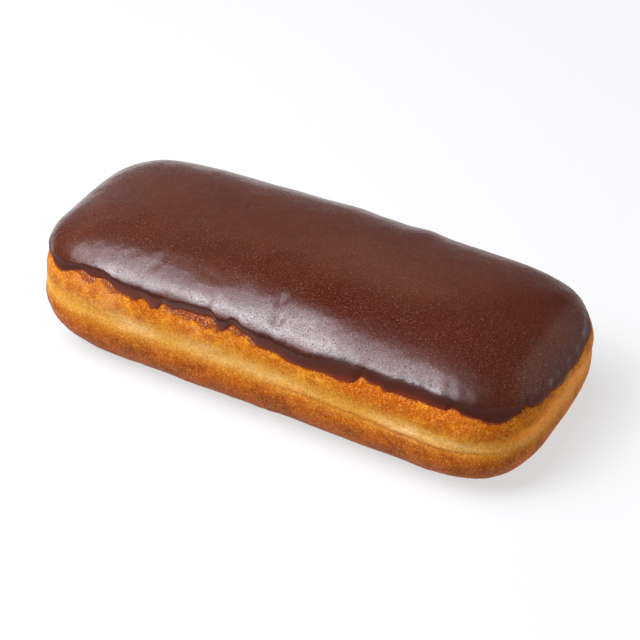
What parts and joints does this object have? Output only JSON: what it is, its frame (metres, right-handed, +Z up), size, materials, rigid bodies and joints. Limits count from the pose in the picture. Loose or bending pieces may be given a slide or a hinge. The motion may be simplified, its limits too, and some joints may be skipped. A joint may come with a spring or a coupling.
{
  "type": "long john doughnut",
  "caption": "Bar-shaped fried yeast doughnut with squared-off round ends, a pale waist line round its sides and a skin of chocolate icing over its top.",
  "frame": {"origin": "on the table under the middle of the bar", "axes": "+X along the bar towards its slightly wider, lower end, +Z up through the icing"},
  "size_m": [0.1601, 0.0718, 0.0402],
  "materials": {
    "fried_crust": "golden brown fried crust, fine grain, paler along the waist",
    "chocolate_icing": "set chocolate icing, satin gloss with fine speckle"
  },
  "bodies": {
    "root": {"dough": "fried_crust", "icing": "chocolate_icing"}
  },
  "joints": []
}
